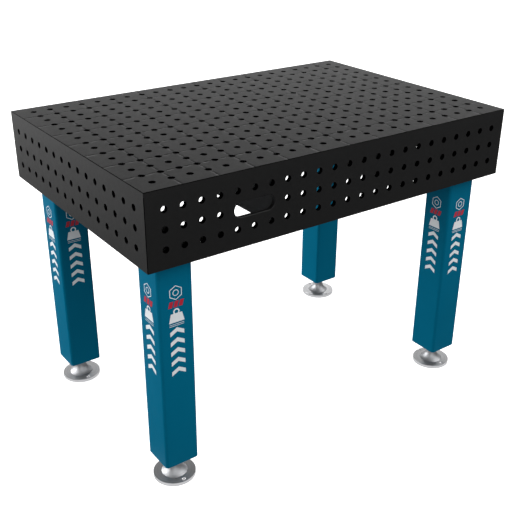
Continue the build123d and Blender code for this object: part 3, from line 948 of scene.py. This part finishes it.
# %% Weld the box and the corner plates
mount_low, mount_high = box_of("leg_mount_plate_front_left")
MOUNT_LENGTH = mount_high[0] - mount_low[0]
gusset_low, gusset_high = box_of("corner_gussets_front_left")
GUSSET_HALF = 4 * MM
GUSSET_X, GUSSET_Y = -(gusset_high[0] - GUSSET_HALF), -(gusset_high[1] - GUSSET_HALF)
GUSSET_STITCH = ((gusset_high[2] - gusset_low[2]) / 2 + 2 * MM,)
BOX_LONG = [m * MM for m in (-525, -400, -300, -150, 0, 150, 300, 400, 525)]
BOX_SHORT = [m * MM for m in (-325, -200, -50, 50, 200, 325)]
BOX_CORNER = (0.74, 0.82)
MOUNT_LONG, MOUNT_SHORT = (0.05, 0.15, MOUNT_LENGTH - 0.025), (0.05, 0.15)
BELOW_MOUNT = (MOUNT_LENGTH - 0.05,)


def weld_box():
    shell = Shell()
    for s in SIDES:
        stitches(shell, (0, s * INNER_Y, UNDER_TOP_Z), X, BOX_LONG, -s * Y, DOWN)
        stitches(shell, (s * INNER_X, 0, UNDER_TOP_Z), Y, BOX_SHORT, -s * X, DOWN)
        for t in SIDES:
            stitches(shell, (s * INNER_X, t * INNER_Y, 0), UP, BOX_CORNER, -s * X, -t * Y)
    return shell


def weld_corner_plates():
    """The joints of the four mounting plates and their gussets."""
    shell = Shell()
    above, below = mount_high[2], mount_low[2]
    for sy, sx in product(SIDES, SIDES):
        wall_x, wall_y = sx * INNER_X, sy * INNER_Y
        stitches(shell, (wall_x, wall_y, above), -sx * X, MOUNT_LONG, -sy * Y, UP)
        stitches(shell, (wall_x, wall_y, above), -sy * Y, MOUNT_SHORT, -sx * X, UP)
        stitches(shell, (wall_x, wall_y, below), -sx * X, BELOW_MOUNT, -sy * Y, DOWN,
                 80 * MM, 0.8 * WELD_LEG)
        for face in SIDES:
            at_x, at_y = sx * GUSSET_X + face * GUSSET_HALF, sy * GUSSET_Y + face * GUSSET_HALF
            stitches(shell, (wall_x, at_y, above), -sx * X, GUSSET_STITCH, face * Y, UP)
            stitches(shell, (wall_x, at_y, above), UP, GUSSET_STITCH, face * Y, -sx * X)
            stitches(shell, (at_x, wall_y, above), -sy * Y, GUSSET_STITCH, face * X, UP)
            stitches(shell, (at_x, wall_y, above), UP, GUSSET_STITCH, face * X, -sy * Y)
    return shell


add_piece("box_welds", weld_box(), WELD_METAL)
add_piece("corner_plate_welds", weld_corner_plates(), WELD_METAL)

# %% [markdown]
# The tube is welded to its flange all the way round before the leg is coated, so this bead wears
# the same powder coat as the leg.

# %% Weld the legs to their flanges
def weld_leg(corner):
    axis, top = LEG_AXES[corner], box_of(f"leg_tube_{corner}")[1][2]
    section = np.array(rounded_square(TUBE_HALF, TUBE_CORNER_R))
    path, toes = [], []
    for here, there in zip(section, np.roll(section, -1, 0)):
        length = np.linalg.norm((there - here)[:2])
        steps = max(1, round(length / RIPPLE_STEP / 2) * 2)
        for i in range(steps):
            x, y, n, m = here + (there - here) * i / steps
            path.append((axis[0] + x, axis[1] + y, top))
            toes.append(np.array((n, m, 0)) / math.hypot(n, m))
    shell = Shell()
    bead(shell, path, toes, DOWN, closed=True)
    add_piece(f"leg_weld_{corner}", shell, POWDER_COAT)


for corner in CORNERS:
    weld_leg(corner)

# %% [markdown]
# ## Turned feet
# A foot is a disc of 118 mm with a flared boss, drilled for two floor anchors. A lathe mesh is a
# profile turned round an axis. The drilled holes need more care: the disc's rings and spokes form a
# polar grid, and a patch of it is left out and filled by spokes between the patch's border and the
# hole, the same idea as in the perforated plates.

# %% Lathe mesh
TURN_STEPS = 128
TURN = 2 * math.pi / TURN_STEPS
ANCHOR_R, ANCHOR_AT = 5 * MM, 50 * MM
ANCHOR_PATCH = 3


def circle(radius, z, steps=TURN_STEPS, flat=math.inf):
    """A round of points, cut off at two flats. The radius may depend on the angle and the height."""
    loop = []
    for i in range(steps):
        angle = 2 * math.pi * i / steps
        r = radius(angle, z) if callable(radius) else radius
        loop.append((r * math.cos(angle), max(-flat, min(flat, r * math.sin(angle))), z))
    return loop


def lathe(shell, profile, mark=0.0):
    """Turns (radius, height) points round the axis. The profile runs anticlockwise."""
    shell.wrap([circle(radius, z) for radius, z in profile], mark)


def hollow_arc(start, end, depth, steps):
    """An arc between two (radius, height) points that sinks in by a depth at its middle."""
    (r0, z0), (r1, z1) = start, end
    chord = math.hypot(r1 - r0, z1 - z0)
    radius = chord**2 / (8 * depth) + depth / 2
    share = (radius - depth) / chord
    centre = ((r0 + r1) / 2 + (z1 - z0) * share, (z0 + z1) / 2 + (r0 - r1) * share)
    first, last = [math.atan2(z - centre[1], r - centre[0]) % (2 * math.pi) for r, z in (start, end)]
    return arc(centre, radius, first, last, steps + 1)


def drilled_ring(shell, radii, z, z_wall, facing_up):
    """The ring of the disc that holds the anchor holes, on one of its two faces."""
    def at(k, r):
        return (r * math.cos(TURN * k), r * math.sin(TURN * k), z)

    middles = (TURN_STEPS // 4, 3 * TURN_STEPS // 4)
    order = 1 if facing_up else -1
    for k in range(TURN_STEPS):
        if not any(m - ANCHOR_PATCH <= k < m + ANCHOR_PATCH for m in middles):
            for low, high in zip(radii, radii[1:]):
                shell.face([at(k, low), at(k, high), at(k + 1, high), at(k + 1, low)][::order])
    for m in middles:
        ks = range(m - ANCHOR_PATCH, m + ANCHOR_PATCH + 1)
        border = [at(ks[0], r) for r in radii[:-1]] + [at(k, radii[-1]) for k in ks[:-1]]
        border += [at(ks[-1], r) for r in radii[:0:-1]] + [at(k, radii[0]) for k in ks[:0:-1]]
        cx, cy = ANCHOR_AT * math.cos(TURN * m), ANCHOR_AT * math.sin(TURN * m)

        def rim(radius, height):
            reaches = [(x - cx, y - cy, radius / math.hypot(x - cx, y - cy)) for x, y, _ in border]
            return [(cx + dx * reach, cy + dy * reach, height) for dx, dy, reach in reaches]

        loops = [border, rim(ANCHOR_R + RIM_CHAMFER, z), rim(ANCHOR_R, z_wall)]
        if facing_up:
            loops.append(rim(ANCHOR_R, RIM_CHAMFER))
        shell.wrap(loops[::order])


print("steps round a turned part:", TURN_STEPS)

# %% Build the feet
DISC_R, DISC_T = 59 * MM, 11 * MM
TURNED_EDGE, BOSS_EDGE = 0.8 * MM, 1.0 * MM
BOSS_BASE_R, BOSS_TOP_R, BOSS_HOLLOW, BOSS_STEPS = 36 * MM, 15 * MM, 5 * MM, 14
SOCKET_R, SOCKET_FLOOR = 10.05 * MM, 18 * MM
STEP_BY_BOSS = 2.5 * MM


def foot_shell():
    spacing = ANCHOR_AT * TURN
    radii = [ANCHOR_AT + spacing * i for i in range(-ANCHOR_PATCH, ANCHOR_PATCH + 1)]
    flare = hollow_arc((BOSS_BASE_R, DISC_T), (BOSS_TOP_R, FOOT_H - BOSS_EDGE), BOSS_HOLLOW, BOSS_STEPS)
    edge, turn = TURNED_EDGE, 0.3 * TURNED_EDGE
    shell = Shell()
    lathe(shell, [(0, 0), (radii[0] / 2, 0), (radii[0], 0)])
    drilled_ring(shell, radii, 0.0, RIM_CHAMFER, False)
    lathe(shell, [(radii[-1], 0), (DISC_R - edge, 0), (DISC_R - turn, turn), (DISC_R, edge),
                  (DISC_R, DISC_T - edge), (DISC_R - turn, DISC_T - turn), (DISC_R - edge, DISC_T),
                  (radii[-1], DISC_T)])
    drilled_ring(shell, radii, DISC_T, DISC_T - RIM_CHAMFER, True)
    lathe(shell, [(radii[0], DISC_T), (BOSS_BASE_R + STEP_BY_BOSS, DISC_T), flare[0]])
    # The boss faces carry the mark for the boss's painted shade.
    lathe(shell, [*flare, (BOSS_TOP_R - 0.4 * BOSS_EDGE, FOOT_H - 0.2 * BOSS_EDGE),
                  (BOSS_TOP_R - BOSS_EDGE, FOOT_H), (SOCKET_R, FOOT_H), (SOCKET_R, SOCKET_FLOOR),
                  (0, SOCKET_FLOOR)], DULL)
    return shell


foot_mesh = mesh_from(foot_shell(), "turned_foot")
for corner in CORNERS:
    add_piece(f"turned_foot_{corner}", foot_mesh, TURNED_ZINC,
              [f"foot_plate_{corner}"], f"foot_{corner}", (*LEG_AXES[corner][:2], 0))

# %% [markdown]
# ## Threaded spindles
# The spindle is an M24 screw with a 3 mm pitch. A thread could be swept as a helix and joined to the
# shank, but the join is hard to close. Here the whole spindle is one turned mesh whose radius
# depends on the angle as well as on the height, so the flanks wind round it and both ends run out
# into plain metal by themselves.

# %% Build the spindles
SPINDLE_STEPS = 32
PITCH, LEVELS_PER_PITCH, RUN_OUT = 3 * MM, 8, 2 * MM
FLANK_SLOPE, FLANK_START = 2.9, 0.35
CREST_R, ROOT_R, TIP_R = 11.95 * MM, 10.35 * MM, 10.45 * MM
PIVOT_R, NECK_R, NECK_LOW, NECK_HIGH = 10 * MM, 7 * MM, 10 * MM, 16 * MM
FLAT_HALF = 9.5 * MM
SHOULDER_Z = FOOT_H + 0.3 * MM
FLATS_LOW, FLATS_HIGH = SHOULDER_Z + 0.7 * MM, SHOULDER_Z + 7.2 * MM
SPINDLE_LOW, SPINDLE_HIGH = [point[2] for point in box_of("foot_spindle_front_left")]
THREAD_LOW, THREAD_HIGH = FLATS_HIGH + 0.6 * MM, SPINDLE_HIGH - 1.5 * MM


def thread_radius(angle, z):
    """Radius of the thread: flat crests and roots with 60 degree flanks between them."""
    phase = ((z - PITCH * angle / (2 * math.pi)) / PITCH) % 1.0
    flank = min(max(abs(phase - 0.5) * FLANK_SLOPE - FLANK_START, 0.0), 1.0)
    fade = min(1.0, max(0.0, (z - THREAD_LOW) / RUN_OUT), max(0.0, (THREAD_HIGH - z) / RUN_OUT))
    return CREST_R - (CREST_R - ROOT_R) * flank * fade


def spindle_shell():
    def level(z, radius=CREST_R, **flats):
        return circle(radius, z, SPINDLE_STEPS, **flats)

    base, soft = SPINDLE_LOW, 0.5 * MM
    plain = [(0, base), (PIVOT_R - 2 * soft, base), (PIVOT_R, base + 2 * soft),
             (PIVOT_R, base + NECK_LOW), (NECK_R, base + NECK_LOW), (NECK_R, base + NECK_HIGH),
             (PIVOT_R, base + NECK_HIGH), (PIVOT_R, SHOULDER_Z), (CREST_R - soft, SHOULDER_Z),
             (CREST_R, SHOULDER_Z + soft), (CREST_R, FLATS_LOW)]
    loops = [level(z, radius) for radius, z in plain]
    loops += [level(FLATS_LOW, flat=FLAT_HALF), level(FLATS_HIGH, flat=FLAT_HALF), level(FLATS_HIGH)]
    count = math.ceil((THREAD_HIGH - THREAD_LOW) / PITCH * LEVELS_PER_PITCH)
    loops += [level(z, thread_radius) for z in np.linspace(THREAD_LOW, THREAD_HIGH, count + 1)]
    loops += [level(SPINDLE_HIGH, TIP_R), level(SPINDLE_HIGH, 0)]
    shell = Shell()
    shell.wrap(loops)
    return shell


spindle_mesh = mesh_from(spindle_shell(), "threaded_spindle")
for corner in CORNERS:
    add_piece(f"threaded_spindle_{corner}", spindle_mesh, MACHINED_STEEL,
              [f"foot_spindle_{corner}"], f"spindle_{corner}", (*LEG_AXES[corner][:2], 0))

# %% [markdown]
# ## CAD parts that stay
# Ribs, corner plates, flanges, fasteners and bushes already have the right shape. They keep their
# CAD mesh and get a finish. Exact CAD edges look like paper, so a bevel modifier breaks each
# sharp edge by a few tenths of a millimetre. It needs joined points, which the weld modifier
# before it provides.

# %% Finish the CAD parts
FINISHES = {
    ("cross_rib", "long_rib", "leg_mount_plate", "corner_gussets"): (WELDED_FRAME, 0.5),
    ("leg_flange",): (POWDER_COAT, 0.6),
    ("leg_end_plate",): (POWDER_COAT, 0.3),
    ("spindle_bush",): (MACHINED_STEEL, 0.3),
    ("foot_thrust_pad",): (BRONZE, 0.1),
    ("foot_retaining_ring", "flange_bolts", "flange_nuts", "flange_washers"): (ZINC_FASTENER, 0.15),
    ("lock_nut",): (ZINC_FASTENER, 0.25),
}
JOIN_DISTANCE = 0.002 * MM


def finish_cad_part(part, finish, edge):
    part.data.materials.clear()
    part.data.materials.append(finish)
    joined = part.modifiers.new("joined points", "WELD")
    joined.merge_threshold = JOIN_DISTANCE
    broken = part.modifiers.new("broken edges", "BEVEL")
    broken.width = edge * MM
    broken.segments = 2
    broken.limit_method = "ANGLE"
    broken.angle_limit = CREASE
    even = part.modifiers.new("even shading", "WEIGHTED_NORMAL")
    even.keep_sharp = False


finished = 0
for (node, part), (starts, look) in product(frame["nodes"].items(), FINISHES.items()):
    if node.startswith(starts):
        finish_cad_part(part, *look)
        finished += 1
print("finished CAD parts:", finished)

# %% [markdown]
# ## Floor and light
# The table stands on a plain pale floor in a soft studio. Nitrided steel is nearly black and shows
# itself by reflections, so the lights matter as much as the material: a wide softbox behind the
# table gives the worktop its grey sheen, one on the left lights the short side and the left faces
# of the legs, and the front stays dark. The floor shows bright to the camera, but sends less light
# back to the table, like white paper that curves out of the lit area.

# %% Floor
NEAR_GLOW, FAR_GLOW = 0.86, 1.0
# Glow of the floor that only the metal of the feet sees: a painted reflection.
FLOOR_IN_METAL = 0.6
FLOOR_R, FLOOR_STEPS = 14.0, 64
PAPER_SEEN, PAPER_DIM = 0.8, 0.15
WHITE = (1, 1, 1)


def pale_floor():
    """Bright to the camera, glowing near the feet for their metal alone (a painted reflection), dim to the
    rest, and clear from below.
    """
    material = bpy.data.materials.new("pale floor")
    material.use_nodes = True
    g = Graph(material.node_tree)
    g.tree.nodes.clear()
    paths = g.put("LightPath").outputs
    where = g.put("TexCoord").outputs["Object"]
    away = g.put("VectorMath", where, options={"operation": "LENGTH"}).outputs["Value"]
    folded = g.put("VectorMath", where, options={"operation": "ABSOLUTE"}).outputs["Vector"]
    foot = (*np.abs(LEG_AXES["rear_right"][:2]), 0.0)
    from_foot = g.put("VectorMath", folded, foot, options={"operation": "DISTANCE"}).outputs["Value"]
    # Painted reflection: near each foot the floor glows for glossy rays only, so the feet's metal mirrors a
    # bright patch there.
    in_metal = g.times(paths["Is Glossy Ray"], g.spread(from_foot, 0.10, 0.16, FLOOR_IN_METAL, 0.0))

    def paper(tone, strength):
        base = g.put("BsdfDiffuse", Color=(tone, tone, tone)).outputs[0]
        glow = g.put("Emission", Color=WHITE, Strength=strength).outputs[0]
        return g.put("AddShader", base, glow).outputs[0]

    seen = paper(PAPER_SEEN, g.spread(away, 0.9, 3.0, NEAR_GLOW, FAR_GLOW))
    above = g.put("MixShader", paths["Is Camera Ray"], paper(PAPER_DIM, in_metal), seen).outputs[0]
    below = g.put("NewGeometry").outputs["Backfacing"]
    clear = g.put("BsdfTransparent").outputs[0]
    g.put("OutputMaterial", Surface=g.put("MixShader", below, above, clear).outputs[0])
    return material


floor_mesh = bpy.data.meshes.new("floor")
floor_mesh.from_pydata(circle(FLOOR_R, 0, FLOOR_STEPS), [], [list(range(FLOOR_STEPS))])
floor_mesh.materials.append(pale_floor())
floor = bpy.data.objects.new("floor", floor_mesh)
bpy.context.scene.collection.objects.link(floor)
print("floor radius", FLOOR_R, "m")

# %% Lights
LIGHTS_AIM = Vector((0, 0, 0.6))
WORLD_GLOW = 0.16


def softbox(name, azimuth, elevation, distance, width, height, power):
    """A rectangular light that looks at the table."""
    away = looking_from(math.radians(azimuth), math.radians(elevation))
    light = bpy.data.lights.new(name, "AREA")
    light.shape = "RECTANGLE"
    light.size, light.size_y = width, height
    light.energy = power
    lamp = bpy.data.objects.new(name, light)
    lamp.rotation_mode = "QUATERNION"
    lamp.rotation_quaternion = away.to_track_quat("Z", "Y")
    lamp.location = LIGHTS_AIM + away * distance
    bpy.context.scene.collection.objects.link(lamp)


# name, azimuth, elevation, distance, width, height, power
SOFTBOXES = (
    ("back low", 146, 9, 5.0, 9.0, 1.4, 82),
    ("back left", -136, 10, 4.5, 4.6, 1.6, 240),
    ("left", -100, 24, 4.0, 3.0, 2.4, 40),
    ("front left", -22, 24, 4.5, 5.0, 3.6, 104),
    ("front right", 52, 36, 4.5, 5.0, 3.6, 160),
)
for each in SOFTBOXES:
    softbox(*each)

world = bpy.data.worlds.new("studio")
bpy.context.scene.world = world
world.use_nodes = True
g = Graph(world.node_tree)
g.tree.nodes.clear()
room, white = [g.put("Background", Color=WHITE, Strength=s).outputs[0] for s in (WORLD_GLOW, 1.0)]
by_ray = g.put("MixShader", g.put("LightPath").outputs["Is Camera Ray"], room, white)
g.put("OutputWorld", Surface=by_ray.outputs[0])
bpy.context.scene.view_settings.view_transform = "Standard"
print("lights:", len(SOFTBOXES))

# %% [markdown]
